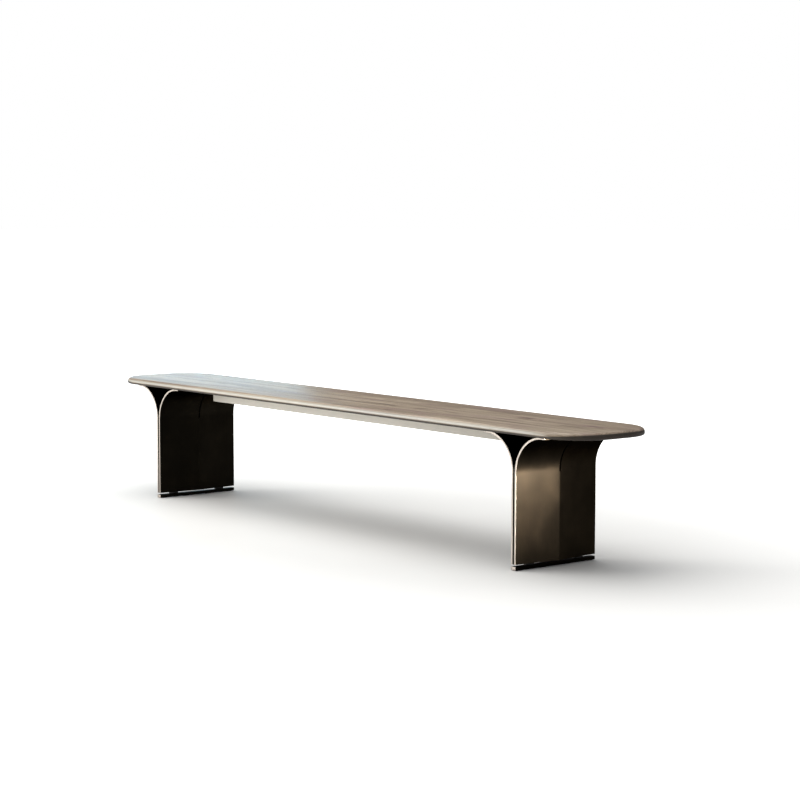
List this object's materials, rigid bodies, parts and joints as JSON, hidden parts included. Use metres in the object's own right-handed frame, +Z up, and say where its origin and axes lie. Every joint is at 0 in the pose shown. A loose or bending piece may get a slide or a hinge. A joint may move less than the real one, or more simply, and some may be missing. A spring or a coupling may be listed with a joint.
{
  "type": "backless bench",
  "caption": "Long backless bench: a timber seat with rounded ends on two dark metal pedestal legs that flare apart at the top and stand on floor bars with a shadow gap.",
  "frame": {"origin": "on the floor, below the middle of the seat", "axes": "+X along the length of the seat, +Y from the front long side to the rear long side, +Z up"},
  "size_m": [2.626, 0.38, 0.45],
  "materials": {
    "seat_timber": "oiled, satin",
    "bronze_sheet": "dark bronze, satin",
    "black_steel": "black, matte",
    "pad_rubber": "matte",
    "zinc_screw": "zinc plated",
    "insert_brass": "plain",
    "beam_paint": "pale grey, satin",
    "plug_plastic": "matte"
  },
  "bodies": {
    "root": {"seat_stave_front": "seat_timber", "seat_stave_front_middle": "seat_timber", "seat_stave_rear_middle": "seat_timber", "seat_stave_rear": "seat_timber", "left_outer_skin": "bronze_sheet", "left_inner_skin": "bronze_sheet", "right_outer_skin": "bronze_sheet", "right_inner_skin": "bronze_sheet", "left_core_plate": "bronze_sheet", "right_core_plate": "bronze_sheet", "left_mounting_plate": "black_steel", "right_mounting_plate": "black_steel", "left_foot_bar": "bronze_sheet", "right_foot_bar": "bronze_sheet", "left_spacer_blocks": "black_steel", "right_spacer_blocks": "black_steel", "left_foot_pads": "pad_rubber", "right_foot_pads": "pad_rubber", "left_foot_screws": "zinc_screw", "right_foot_screws": "zinc_screw", "left_plate_screws": "zinc_screw", "right_plate_screws": "zinc_screw", "left_plate_inserts": "insert_brass", "right_plate_inserts": "insert_brass", "beam": "beam_paint", "beam_left_cap": "beam_paint", "beam_right_cap": "beam_paint", "beam_screws": "zinc_screw", "beam_inserts": "insert_brass", "beam_hole_plugs": "plug_plastic"}
  },
  "joints": []
}
